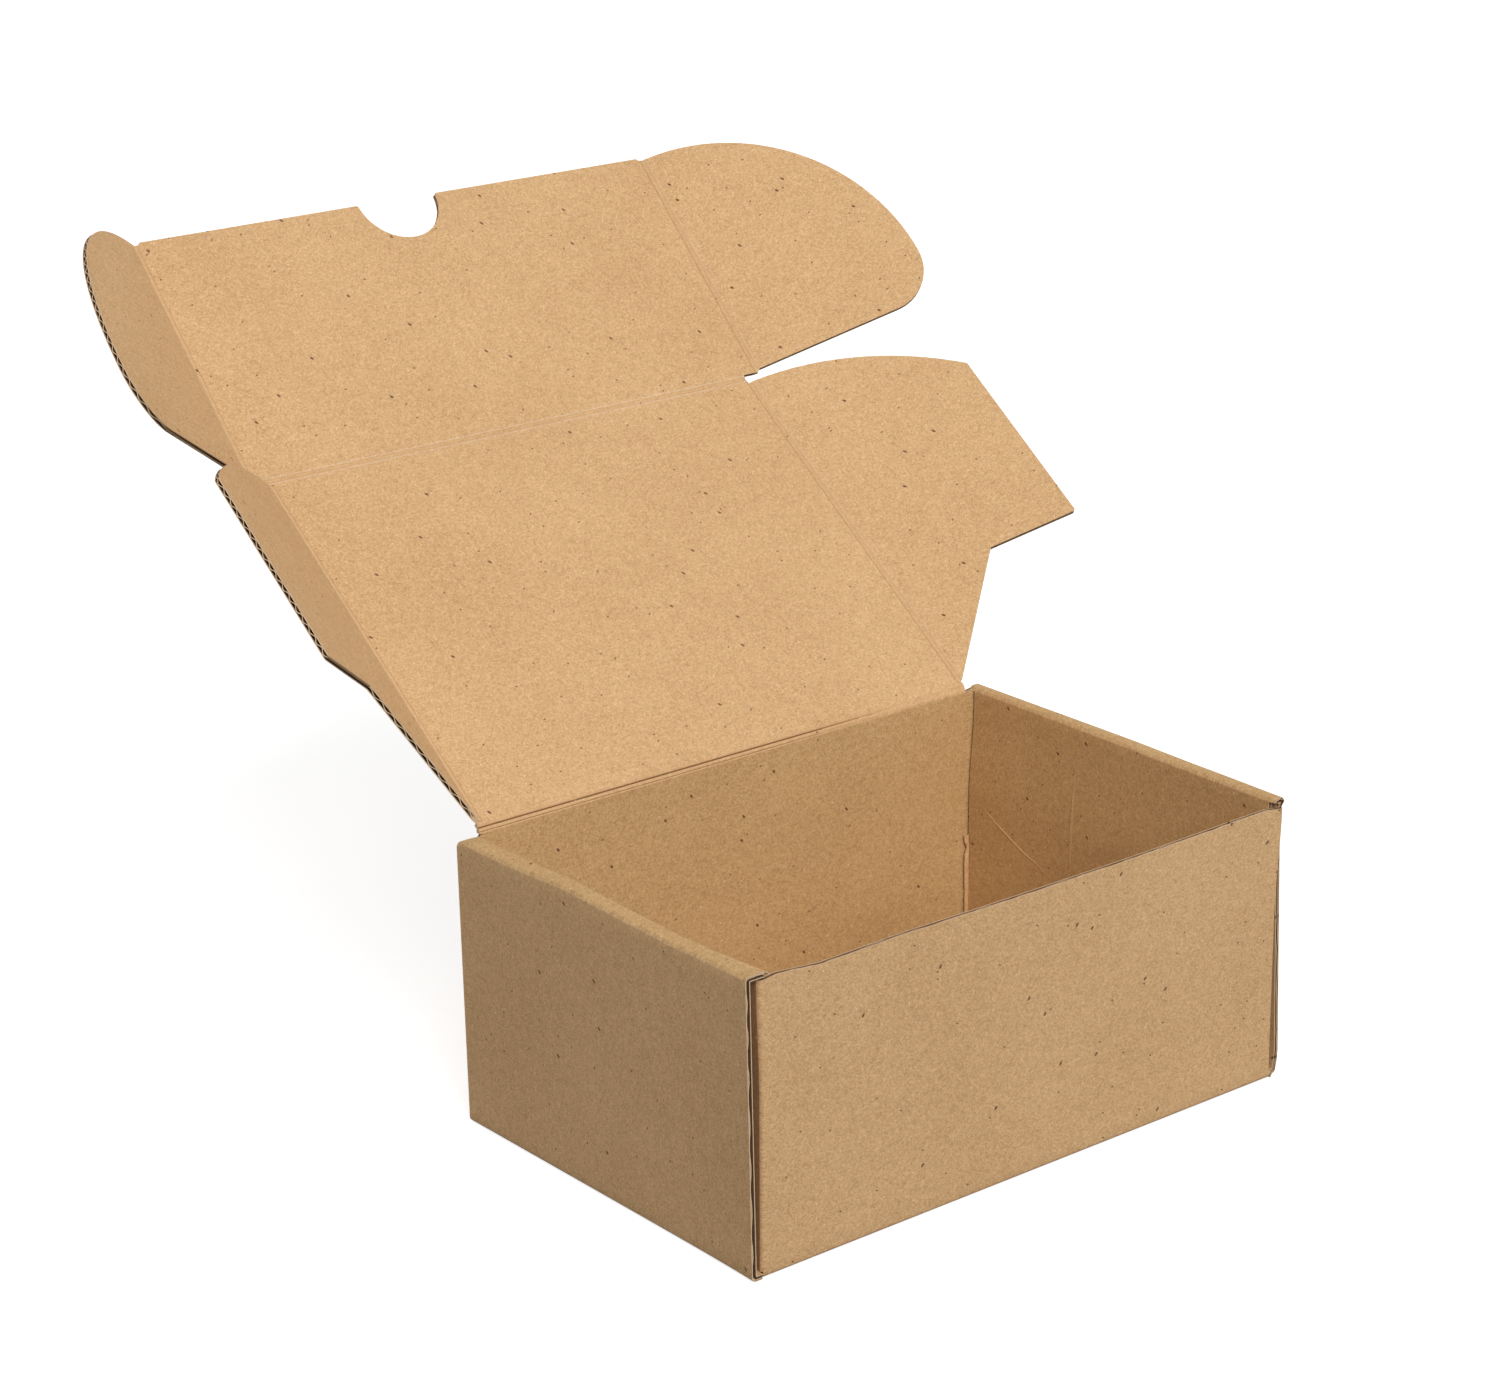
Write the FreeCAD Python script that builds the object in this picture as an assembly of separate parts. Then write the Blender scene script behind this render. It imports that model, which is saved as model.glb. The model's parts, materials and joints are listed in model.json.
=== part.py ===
"""An open folded mailing box: a tray with double side walls, a hinged lid and a tuck flap.

The whole box is one die-cut blank of fluted board. Its flutes run along X in the flat blank,
so they stand upright in the side walls and show open ends on the ears' outer edges.
Origin: the middle of the base's underside. X is the width, +Y the back, +Z up. Millimetres.
"""
import FreeCAD, Part
import os
from math import cos, radians, sin, sqrt

V = FreeCAD.Vector

# Board
BOARD = 1.4                  # thickness of the fluted board
LINER = 0.25                 # each of its two flat faces
FLUTE_PITCH = 3.45           # from one wave of the flute to the next
MEDIUM = 0.3                 # the wavy sheet between the liners
POCKET = 4.0                 # how deep the open flutes are cut at an ear's edge
CHANNEL = 1.6                # depth of the slot between the liners where an edge runs along a flute
FOLD_OUT = 1.3               # outer radius of a folded corner
FOLD_IN = 0.3                # inner radius of a folded corner
PAST = 1.0                   # how far a cutting shape reaches past what it cuts

# Tray
OUTER_WIDTH = 176.0
OUTER_DEPTH = 116.4
TRAY_HEIGHT = 78.0
FRONT_HEIGHT = 74.8
FLAP_TOP_GAP = 0.8           # dust flaps stop this far under the side ledges
DUST_FLAP_LENGTH = 43.0
LOCK_SLOT = 1.7              # pocket in each side wall that takes the tuck flap's ear
LAYER_GAP = 0.1              # between dust flap and inner side wall
LAYER_SLACK = 0.3            # inner side walls stop this far short of the front and rear walls
FLOOR_GAP = 0.2              # between the base and the edges that stand on it
TAB_LENGTH = 22.0            # tabs of the inner side walls, locked in slots of the base
TAB_OFFSET = 28.0            # from the middle of the base to each tab's middle
TAB_CLEARANCE = 0.25

# Creases between panels that fold
CREASE_GAP = 0.4             # from the fold line to each panel's edge
CREASE_TIP = 0.3             # thickness of the crushed edge there
CREASE_SLOPE = 1.35          # how far the board takes to rise by one from that edge

# Lid, hinged on the rear wall
LID_CLEARANCE = 0.3          # between the closed lid and the ledges, and lid ears and side walls
LID_LEAN = 53.0              # degrees behind upright, as it stands open

# Tuck flap on the lid's front edge
TUCK_BEND = 9.1              # degrees inward from the lid's plane
TUCK_CLEARANCE = 0.4         # between the closed flap and the front wall
TUCK_FLOOR_GAP = 1.0         # under the closed flap's free edge
TUCK_CORNER = 1.5            # chamfer on the two free corners
TUCK_SLIT = 1.3              # how far the slits cut into the flap past the fold line
NOTCH_RADIUS = 12.8          # thumb notch in the free edge
NOTCH_OFFSET = -0.9          # of the notch from the middle
NOTCH_LIP = 0.8              # rounding of its two lips

# Ears on the lid's sides
LID_EAR_WIDTH = 60.4
LID_EAR_REAR = 35.8          # from the hinge to the ear's square rear edge
LID_EAR_STEP = 31.9          # where that edge meets the slanted one
LID_EAR_START = 1.0          # where the slanted edge leaves the hinge
LID_EAR_SETBACK = 1.5        # from the lid's front fold line to the ear's round front edge, at the side fold
LID_EAR_RADIUS = 94.8        # of the front edge, centred on the side fold
LID_EAR_ANGLE = {"left": 43.7, "right": 17.4}    # degrees inward from the lid's plane

# Ears on the tuck flap's sides
TUCK_EAR_OUT = 3.7           # centre of the round outer edge, out from the side fold
TUCK_EAR_UP = 18.6           # the same centre, up from the lid's front fold line
TUCK_EAR_SETBACK = 0.7       # from the flap's free edge to the ear's top
TUCK_EAR_CORNER = 14.9       # radius of the lower outer corner
TUCK_EAR_FOOT = 2.3          # where the lower edge meets the side fold
TUCK_EAR_ANGLE = {"left": 43.5, "right": 21.0}   # degrees inward from the flap's plane

# Places worked out from the sizes above
HALF_WIDTH = OUTER_WIDTH / 2
HALF_DEPTH = OUTER_DEPTH / 2
WALL_INSIDE = HALF_WIDTH - BOARD
DUST_OUTSIDE = WALL_INSIDE - LOCK_SLOT
DUST_INSIDE = DUST_OUTSIDE - BOARD
INNER_OUTSIDE = DUST_INSIDE - LAYER_GAP
INNER_FACE = INNER_OUTSIDE - BOARD
LEDGE_UNDER = TRAY_HEIGHT - BOARD
FLAP_TOP = LEDGE_UNDER - FLAP_TOP_GAP
HINGE_Y = HALF_DEPTH - BOARD / 2
HINGE_Z = TRAY_HEIGHT + LID_CLEARANCE + BOARD / 2
LID_HALF = INNER_FACE - LID_CLEARANCE - BOARD / 2
LID_LENGTH = HINGE_Y + HALF_DEPTH + TUCK_CLEARANCE + BOARD / 2    # from the hinge to the front fold line
LID_EAR_FRONT = LID_LENGTH - LID_EAR_SETBACK
TUCK_HALF = WALL_INSIDE - LOCK_SLOT / 2
TUCK_HEIGHT = HINGE_Z - TUCK_FLOOR_GAP
TUCK_EAR_RADIUS = TUCK_HEIGHT - TUCK_EAR_SETBACK - TUCK_EAR_UP
CORE = BOARD - 2 * LINER


def box(low, high):
    size = V(*high) - V(*low)
    return Part.makeBox(size.x, size.y, size.z, V(*low))


def mirrored(shape):
    """The shape and its mirror image across the box's middle."""
    return [shape, shape.mirror(V(0, 0, 0), V(1, 0, 0))]


def rounded(shape, radius, chosen):
    """The shape with each edge whose middle passes the test rounded."""
    edges = [e for e in shape.Edges if chosen(e.CenterOfMass)]
    return shape.makeFillet(radius, edges)


def near(a, b):
    return abs(a - b) < 0.01


def sheet(edges):
    """Board cut to a closed outline in the panel's own XY plane, half its thickness each side."""
    face = Part.Face(Part.Wire(Part.__sortEdges__(edges)))
    face.translate(V(0, 0, -BOARD / 2))
    return face.extrude(V(0, 0, BOARD))


def line(a, b):
    return Part.LineSegment(V(a[0], a[1], 0), V(b[0], b[1], 0)).toShape()


def polyline(*points):
    return [line(a, b) for a, b in zip(points, points[1:])]


def arc(centre, radius, first, last):
    """An arc from one angle to another, in degrees anticlockwise from X."""

    def at(angle):
        x = centre[0] + radius * cos(radians(angle))
        y = centre[1] + radius * sin(radians(angle))
        return V(x, y, 0)

    return Part.Arc(at(first), at((first + last) / 2), at(last)).toShape()


def crushed(panel, start, run, inward, normal=V(0, 0, 1)):
    """The panel pressed down to a thin edge along the fold line that goes from start to start + run."""
    half = CREASE_TIP / 2
    reach = BOARD / 2
    for side in (1, -1):
        corners = [
            start + inward * (CREASE_GAP - PAST) + normal * side * half,
            start + inward * CREASE_GAP + normal * side * half,
            start + inward * (CREASE_GAP + reach * CREASE_SLOPE) + normal * side * (half + reach),
            start + inward * (CREASE_GAP - PAST) + normal * side * (half + reach),
        ]
        outline = Part.makePolygon(corners + corners[:1])
        panel = panel.cut(Part.Face(outline).extrude(run))
    return panel


def open_flutes(ear, first, last, edge_at):
    """The ear with open flutes cut into its edge, one pair of three-sided pockets for each wave.

    edge_at gives how far out the edge is at a place along the side fold.
    """
    top = BOARD / 2 - LINER
    base = FLUTE_PITCH / 2 - MEDIUM
    tip = MEDIUM / 2
    pockets = []
    count = int((last - first) / (FLUTE_PITCH / 2))
    for n in range(count):
        middle = first + (n + 0.5) * FLUTE_PITCH / 2
        up = 1 if n % 2 else -1
        out = max(edge_at(middle - base), edge_at(middle + base)) + PAST
        deep = min(edge_at(middle - base), edge_at(middle + base)) - POCKET
        wide = V(0, base, 0)
        corners = [
            V(deep, middle, up * top) - wide,
            V(deep, middle, up * top) + wide,
            V(deep, middle + tip, up * (tip - top)),
            V(deep, middle - tip, up * (tip - top)),
        ]
        outline = Part.makePolygon(corners + corners[:1])
        pockets.append(Part.Face(outline).extrude(V(out - deep, 0, 0)))
    return ear.cut(Part.makeCompound(pockets))


def tray():
    """Base, outer side walls, ledges, inner side walls with tabs, front and rear walls, dust flaps."""
    walls = rounded(
        box((-HALF_WIDTH, -HALF_DEPTH, 0), (HALF_WIDTH, HALF_DEPTH, TRAY_HEIGHT)),
        FOLD_OUT,
        lambda c: near(c.y, 0) and near(abs(c.x), HALF_WIDTH),
    )
    hollow = rounded(
        box((-WALL_INSIDE, -HALF_DEPTH - PAST, BOARD), (WALL_INSIDE, HALF_DEPTH + PAST, LEDGE_UNDER)),
        FOLD_IN,
        lambda c: near(c.y, 0) and near(abs(c.x), WALL_INSIDE),
    )
    mouth = box(
        (-INNER_FACE, -HALF_DEPTH - PAST, BOARD), (INNER_FACE, HALF_DEPTH + PAST, TRAY_HEIGHT + PAST)
    )
    walls = walls.cut(hollow).cut(mouth)
    walls = rounded(walls, FOLD_OUT, lambda c: near(abs(c.x), INNER_FACE) and near(c.z, TRAY_HEIGHT))
    base_end = HALF_DEPTH - BOARD - FOLD_IN
    for side in (-1, 1):
        low, high = sorted((side * base_end, side * (HALF_DEPTH + PAST)))
        walls = walls.cut(box((-DUST_OUTSIDE, low, -PAST), (DUST_OUTSIDE, high, BOARD + PAST)))
    pieces = [walls]
    inner_end = HALF_DEPTH - BOARD - LAYER_SLACK
    inner = rounded(
        box((INNER_FACE, -inner_end, BOARD + FLOOR_GAP), (INNER_OUTSIDE, inner_end, TRAY_HEIGHT - FOLD_IN)),
        FOLD_IN,
        lambda c: near(abs(c.y), inner_end) and near(c.z, BOARD + FLOOR_GAP),
    )
    inner = inner.cut(
        box((INNER_FACE - PAST, -HALF_DEPTH, LEDGE_UNDER), (INNER_OUTSIDE + PAST, HALF_DEPTH, TRAY_HEIGHT))
    )
    slots = []
    for middle in (-TAB_OFFSET, TAB_OFFSET):
        low = middle - TAB_LENGTH / 2
        high = middle + TAB_LENGTH / 2
        tab = box((INNER_FACE, low, FLOOR_GAP), (INNER_OUTSIDE, high, BOARD * 2))
        inner = inner.fuse(tab)
        slots += mirrored(
            box(
                (INNER_FACE - TAB_CLEARANCE, low - TAB_CLEARANCE, -PAST),
                (INNER_OUTSIDE + TAB_CLEARANCE, high + TAB_CLEARANCE, BOARD),
            )
        )
    pieces += mirrored(inner)
    for side, top in ((-1, FRONT_HEIGHT), (1, FLAP_TOP)):
        pieces.append(end_wall(side, top))
    whole = pieces[0].fuse(pieces[1:]).removeSplitter()
    whole = whole.cut(Part.makeCompound(slots))
    return whole.cut(Part.makeCompound(edge_channels()))


def end_wall(side, top):
    """The front wall (side -1) or the rear one (side 1), folded up from the base, and its dust flaps."""
    face = side * HALF_DEPTH
    back = side * (HALF_DEPTH - BOARD)
    flap_end = side * (HALF_DEPTH - DUST_FLAP_LENGTH)
    base_end = side * (HALF_DEPTH - BOARD - FOLD_IN)
    low, high = sorted((face, flap_end))
    flaps = rounded(
        box((-DUST_OUTSIDE, low, BOARD + FLOOR_GAP), (DUST_OUTSIDE, high, FLAP_TOP)),
        FOLD_OUT,
        lambda c: near(abs(c.x), DUST_OUTSIDE) and near(c.y, face),
    )
    hollow_low, hollow_high = sorted((back, flap_end - side * PAST))
    flaps = flaps.cut(box((-DUST_INSIDE, hollow_low, 0), (DUST_INSIDE, hollow_high, TRAY_HEIGHT)))
    corner = DUST_OUTSIDE - FOLD_OUT
    if top < FLAP_TOP:
        flaps = flaps.cut(box((-corner, low - PAST, top), (corner, high + PAST, TRAY_HEIGHT)))
    low, high = sorted((face, base_end))
    fold = box((-DUST_OUTSIDE, low, 0), (DUST_OUTSIDE, high, BOARD + FLOOR_GAP))
    fold = rounded(fold, FOLD_OUT, lambda c: near(c.y, face) and near(c.z, 0))
    low, high = sorted((back, base_end - side * PAST))
    fold = fold.cut(box((-HALF_WIDTH, low, BOARD), (HALF_WIDTH, high, TRAY_HEIGHT)))
    wall = flaps.fuse(fold)
    if side > 0:
        neck = box((-LID_HALF, back, FLAP_TOP - PAST), (LID_HALF, face, HINGE_Z - CREASE_GAP))
        start = V(-HALF_WIDTH, HINGE_Y, HINGE_Z)
        neck = crushed(neck, start, V(OUTER_WIDTH, 0, 0), V(0, 0, -1), V(0, 1, 0))
        wall = wall.fuse(neck)
    return wall


def edge_channels():
    """The slots between the liners on the tray's cut edges that run along the flutes."""
    channels = []
    for face in (-HALF_DEPTH, HALF_DEPTH):
        low = face - CHANNEL
        high = face + CHANNEL
        upright = box(
            (WALL_INSIDE + LINER, low, 2 * BOARD), (HALF_WIDTH - LINER, high, LEDGE_UNDER - BOARD)
        )
        across = box(
            (INNER_OUTSIDE, low, LEDGE_UNDER + LINER), (WALL_INSIDE, high, TRAY_HEIGHT - LINER)
        )
        channels += mirrored(upright) + mirrored(across)
    end = DUST_INSIDE - BOARD
    channels.append(
        box(
            (-end, -HALF_DEPTH + LINER, FRONT_HEIGHT - CHANNEL),
            (end, -HALF_DEPTH + BOARD - LINER, FRONT_HEIGHT + CHANNEL),
        )
    )
    return channels


def lid_panel():
    """The flat lid, with fold lines on all four sides."""
    right = LID_HALF - CREASE_GAP
    far = LID_LENGTH - CREASE_GAP
    near_edge = CREASE_GAP
    corners = [(-right, near_edge), (right, near_edge), (right, far), (-right, far)]
    panel = sheet(polyline(*corners, corners[0]))
    across = V(2 * LID_HALF, 0, 0)
    along = V(0, LID_LENGTH, 0)
    panel = crushed(panel, V(-LID_HALF, 0, 0), across, V(0, 1, 0))
    panel = crushed(panel, V(-LID_HALF, LID_LENGTH, 0), across, V(0, -1, 0))
    panel = crushed(panel, V(-LID_HALF, 0, 0), along, V(1, 0, 0))
    return crushed(panel, V(LID_HALF, 0, 0), along, V(-1, 0, 0))


def tuck_panel():
    """The tuck flap: a little wider than the lid, with a thumb notch in its free edge."""
    side = TUCK_HALF - CREASE_GAP
    root = LID_HALF
    outline = polyline(
        (-root, CREASE_GAP),
        (root, CREASE_GAP),
        (root, TUCK_SLIT),
        (side, TUCK_SLIT),
        (side, TUCK_HEIGHT - TUCK_CORNER),
        (side - TUCK_CORNER, TUCK_HEIGHT),
        (TUCK_CORNER - side, TUCK_HEIGHT),
        (-side, TUCK_HEIGHT - TUCK_CORNER),
        (-side, TUCK_SLIT),
        (-root, TUCK_SLIT),
        (-root, CREASE_GAP),
    )
    panel = sheet(outline)
    notch = Part.makeCylinder(NOTCH_RADIUS, 2 * BOARD, V(NOTCH_OFFSET, TUCK_HEIGHT, -BOARD))
    panel = panel.cut(notch)
    panel = rounded(
        panel,
        NOTCH_LIP,
        lambda c: near(c.y, TUCK_HEIGHT) and near(abs(c.x - NOTCH_OFFSET), NOTCH_RADIUS),
    )
    across = V(2 * TUCK_HALF, 0, 0)
    panel = crushed(panel, V(-TUCK_HALF, 0, 0), across, V(0, 1, 0))
    upright = V(0, TUCK_HEIGHT, 0)
    panel = crushed(panel, V(-TUCK_HALF, 0, 0), upright, V(1, 0, 0))
    panel = crushed(panel, V(TUCK_HALF, 0, 0), upright, V(-1, 0, 0))
    for end in (-1, 1):
        near_notch = NOTCH_OFFSET + end * (NOTCH_RADIUS + NOTCH_LIP + CHANNEL)
        near_corner = end * (side - TUCK_CORNER - CHANNEL)
        low, high = sorted((near_notch, near_corner))
        channel = box(
            (low, TUCK_HEIGHT - CHANNEL, -CORE / 2), (high, TUCK_HEIGHT + CHANNEL, CORE / 2)
        )
        panel = panel.cut(channel)
    return panel


def lid_ear():
    """A right ear of the lid, lying flat: X is outward from its side fold, Y along it from the hinge."""
    centre = LID_EAR_FRONT - LID_EAR_RADIUS

    def front_at(out):
        return centre + sqrt(LID_EAR_RADIUS**2 - out**2)

    def edge_at(along):
        reach = sqrt(max(0, LID_EAR_RADIUS**2 - (along - centre) ** 2))
        return min(LID_EAR_WIDTH, reach)

    slope = LID_EAR_STEP / LID_EAR_REAR
    start = (CREASE_GAP, LID_EAR_START + CREASE_GAP / slope)
    corner = (LID_EAR_WIDTH, front_at(LID_EAR_WIDTH))
    middle_out = LID_EAR_WIDTH / 2
    curve = Part.Arc(
        V(corner[0], corner[1], 0),
        V(middle_out, front_at(middle_out), 0),
        V(CREASE_GAP, front_at(CREASE_GAP), 0),
    ).toShape()
    edges = polyline(
        (CREASE_GAP, front_at(CREASE_GAP)),
        start,
        (LID_EAR_STEP, LID_EAR_REAR),
        (LID_EAR_WIDTH, LID_EAR_REAR),
        corner,
    )
    ear = sheet(edges + [curve])
    ear = crushed(ear, V(0, 0, 0), V(0, LID_LENGTH, 0), V(1, 0, 0))
    first = LID_EAR_REAR + MEDIUM
    return open_flutes(ear, first, corner[1] - MEDIUM, edge_at)


def tuck_ear():
    """A right ear of the tuck flap, lying flat: X is outward from its side fold, Y up the flap."""
    out = TUCK_EAR_OUT
    up = TUCK_EAR_UP
    widest = out + TUCK_EAR_RADIUS
    corner_centre = (widest - TUCK_EAR_CORNER, up)
    low = up - TUCK_EAR_CORNER

    def edge_at(along):
        if along >= up:
            return out + sqrt(max(0, TUCK_EAR_RADIUS**2 - (along - up) ** 2))
        reach = max(0, TUCK_EAR_CORNER**2 - (along - up) ** 2)
        return corner_centre[0] + sqrt(reach)

    top = up + sqrt(TUCK_EAR_RADIUS**2 - (out - CREASE_GAP) ** 2)
    middle = TUCK_EAR_RADIUS * sqrt(0.5)
    outer = Part.Arc(
        V(CREASE_GAP, top, 0), V(out + middle, up + middle, 0), V(widest, up, 0)
    ).toShape()
    corner = arc(corner_centre, TUCK_EAR_CORNER, 0, -90)
    edges = polyline((corner_centre[0], low), (CREASE_GAP, TUCK_EAR_FOOT), (CREASE_GAP, top))
    ear = sheet(edges + [outer, corner])
    ear = crushed(ear, V(0, 0, 0), V(0, TUCK_HEIGHT, 0), V(1, 0, 0))
    return open_flutes(ear, up - TUCK_EAR_CORNER / 2, up + middle, edge_at)


def turned(origin, axis, angle):
    return FreeCAD.Placement(origin, FreeCAD.Rotation(axis, angle))


def placed(shape, place):
    moved = shape.copy()
    moved.transformShape(place.toMatrix(), True)
    return moved


def ears(shape, half_width, angles, parent):
    """Both ears, each turned inward about its side fold by its own angle."""
    for name, side in (("left", -1), ("right", 1)):
        ear = shape if side > 0 else shape.mirror(V(0, 0, 0), V(1, 0, 0))
        fold = turned(V(side * half_width, 0, 0), V(0, 1, 0), -side * angles[name])
        yield name, placed(ear, parent.multiply(fold))


lid_place = turned(V(0, HINGE_Y, HINGE_Z), V(1, 0, 0), 90 - LID_LEAN)
tuck_place = lid_place.multiply(turned(V(0, LID_LENGTH, 0), V(1, 0, 0), TUCK_BEND))

nodes = {
    "tray": tray(),
    "lid_panel": placed(lid_panel(), lid_place),
    "tuck_panel": placed(tuck_panel(), tuck_place),
}
for name, shape in ears(lid_ear(), LID_HALF, LID_EAR_ANGLE, lid_place):
    nodes["lid_ear_" + name] = shape
for name, shape in ears(tuck_ear(), TUCK_HALF, TUCK_EAR_ANGLE, tuck_place):
    nodes["tuck_ear_" + name] = shape

os.makedirs("parts", exist_ok=True)
for name, shape in nodes.items():
    if shape.ShapeType == "Compound" and len(shape.Solids) == 1:
        shape = shape.Solids[0]
    print(name, shape.ShapeType, len(shape.Solids), "solid", shape.isValid(), round(shape.Volume, 1))
    shape.exportStep(f"parts/{name}.step")
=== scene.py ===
"""Looks of the open mailing box: fluted kraft board, its folds, its open edges and a soft studio light."""
import json
from math import cos, pi, radians, sin, sqrt, tan

import bpy
import numpy as np
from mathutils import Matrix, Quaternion, Vector
from mathutils.geometry import delaunay_2d_cdt


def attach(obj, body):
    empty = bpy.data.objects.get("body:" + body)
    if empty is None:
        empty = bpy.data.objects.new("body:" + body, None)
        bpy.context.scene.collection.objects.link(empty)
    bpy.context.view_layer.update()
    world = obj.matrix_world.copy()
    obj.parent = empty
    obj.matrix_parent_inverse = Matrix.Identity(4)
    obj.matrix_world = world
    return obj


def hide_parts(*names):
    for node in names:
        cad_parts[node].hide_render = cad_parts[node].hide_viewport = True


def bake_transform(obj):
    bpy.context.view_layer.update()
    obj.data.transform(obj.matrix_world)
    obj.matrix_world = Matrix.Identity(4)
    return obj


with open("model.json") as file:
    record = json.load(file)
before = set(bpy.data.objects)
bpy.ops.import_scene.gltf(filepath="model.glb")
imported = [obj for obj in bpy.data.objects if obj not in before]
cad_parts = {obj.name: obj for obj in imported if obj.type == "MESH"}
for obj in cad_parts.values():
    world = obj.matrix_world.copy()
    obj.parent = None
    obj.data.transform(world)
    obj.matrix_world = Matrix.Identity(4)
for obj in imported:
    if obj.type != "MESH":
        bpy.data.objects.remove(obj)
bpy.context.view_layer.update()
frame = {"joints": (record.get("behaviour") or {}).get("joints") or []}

MM = 0.001

# Board, in millimetres as every size below
BOARD = 1.4
LINER = 0.25
MEDIUM = 0.24
FLUTE_PITCH = 3.45
WAVE = BOARD / 2 - LINER - MEDIUM / 2      # height of the flute's wave from the middle of the board
STRIP = 1.4                                # half width of the pressed band along a fold
LINE_PLACE = 1.0                           # fine lines of that band, from the fold
LINE_WIDTH = 0.13
BAND_ROWS = 41
OPEN_END = 0.12                            # the medium stops this far inside an edge cut across the flutes
FLUTE_STEP = FLUTE_PITCH / 8               # rows this close carry the flute's wave
ROW_STEP = 3.0                             # and rows this close carry a plain face
OPEN_DEPTH = 10.0                          # how far down the medium shows below an open top edge
PRESS_DEPTH = 0.26                         # how far a fold's band is pressed in on the inner face
BACK_PRESS = 0.12                          # and on the outer one
PRESS_LINE = 0.12                          # depth of the band's fine lines
PRESS_HALF = 0.95                          # half width of the pressed trough

# Tray
HALF_WIDTH = 88.0
HALF_DEPTH = 58.2
TRAY_HEIGHT = 78.0
FLAP_TOP = 75.8
NECK_TOP = 77.6                            # rear wall up to the hinge's pressed band
DUST_FLAP_LENGTH = 43.0
FLAP_RECESS = 0.8                          # the medium stops this far below a dust flap's top
DUST_MIDDLE = 84.2                         # middle of the dust flaps' thickness
INNER_MIDDLE = 82.7                        # and of the inner side walls' thickness
BASE_HALF_WIDTH = 84.9
BASE_HALF_DEPTH = 56.5
STANDING = 1.6                             # foot of what stands on the base
FOLD_MIDDLE = 0.6                          # radius of a fold at the middle of the board
CORNER_X = 83.6                            # where the end walls turn into the dust flaps
TAB_LENGTH = 22.0
TAB_OFFSET = 28.0
TAB_FOOT = 0.2                             # the tabs stop short of the ground
SLOT_CLEARANCE = 0.25
END_SLACK = 0.6                            # inner side walls stop this far short of the end walls

# Lid, tuck flap and ears
LID_HALF = 81.0
LID_LENGTH = 116.8
LID_BOW = 0.35                             # how far the lid waves out of its plane
HINGE_LEFT = 81.8                          # the hinge's fold runs a little past the lid at both ends
HINGE_RIGHT = 81.4
NECK_RIGHT = 82.9                          # and the rear wall past that
TUCK_HALF = 85.75
TUCK_HEIGHT = 78.0
TUCK_CORNER = 1.5
NOTCH_RADIUS = 12.8
NOTCH_OFFSET = -0.9
NOTCH_LIP = 0.8
LID_EAR_WIDTH = 60.4
LID_EAR_REAR = 35.8
LID_EAR_STEP = 31.9
LID_EAR_START = 1.0
LID_EAR_FRONT = 115.3
LID_EAR_RADIUS = 94.8
TUCK_EAR_OUT = 3.7
TUCK_EAR_UP = 18.6
TUCK_EAR_RADIUS = 58.7
TUCK_EAR_CORNER = 14.9
TUCK_EAR_FOOT = 2.3
EAR_CORNER = 0.7                           # rounding of the lid ears' square corners
LID_EAR_ANGLE = {"left": 45.9, "right": 18.5}
TUCK_EAR_ANGLE = {"left": 43.5, "right": 21.0}
LID_EAR_SKEW = {"left": -0.052, "right": -0.023}    # the lid's ears lean a little towards the hinge
TUCK_EAR_SKEW = {"left": 0.0, "right": 0.0}

# Where each panel lies in the flat blank, whose flutes run along X
REAR_BLANK = BASE_HALF_DEPTH
LID_BLANK = REAR_BLANK + TRAY_HEIGHT
TUCK_BLANK = LID_BLANK + LID_LENGTH

# How use has bent the tray. Pairs give where a change begins and where it is complete.
LOOSE_FROM = (81.2, 82.0)                  # the layers inside a side wall, by distance from the middle
LOOSE_TO = (84.9, 86.5)
OUTER_WALL = (86.2, 86.6)
FRONT_WALL_FROM = (60, 84)
LEDGE_ZONE = (60, 77)                      # heights that follow a ledge's rise and fall
UPPER_ZONE = (45, 76)                      # heights that lean out with an inner side wall
FOOT_ZONE = (5, 45)                        # heights whose foot has come in
LEFT_LEAN = 0.9
RIGHT_LEAN = 1.5
RIGHT_LEAN_REAR = 0.6                      # more lean towards the rear
RIGHT_FOOT = 1.4
REAR_DROP = 1.4                            # the left ledge's rear corner is pressed down
FRONT_FADE = 12                            # changes at the front corners fade out over this depth
BELOW_LEDGE = 76.3                         # the ledges don't follow the front wall
FLARE_HEIGHT = 74
FRONT_TOP_X = (-84, -79, -71, -66, -40, -17, 7, 33, 58, 71, 80, 84)
FRONT_TOP_Z = (75.9, 75.7, 74.9, 74.5, 74.9, 74.6, 74.5, 74.5, 74.8, 75.1, 75.2, 74.9)
LEFT_LEDGE_Y = (-58, -56, -29, -10, 14, 29, 48, 58)
LEFT_LEDGE_RISE = (-0.6, -0.6, -1.0, -0.4, 0.4, -0.2, -0.5, 0.0)
RIGHT_LEDGE_Y = (-58, -47, -25, -3, 20, 58)
RIGHT_LEDGE_RISE = (-0.5, -0.4, -0.2, 0.3, 0.5, 0.7)
WRINKLE = (
    (54.6, 46.9), (51.3, 45.8), (44.3, 41.8), (39.4, 39.4),
    (33.7, 36.7), (27, 34.4), (24, 32.3), (23.2, 30.2),
)
FAINT_LINE = ((14.6, 67), (15.2, 50), (15.6, 33))
PLEAT_ROWS = 40
PLEAT_COLUMNS = 7
CRUSH_LOW = 9                              # the crushed strip of the right inner wall's rear edge
CRUSH_HIGH = 36
CRUSH_WIDTH = 1.8
CRUSH_NOTCH = 32
CRUSH_ROWS = 28
CRUSH_COLUMNS = 5

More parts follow.
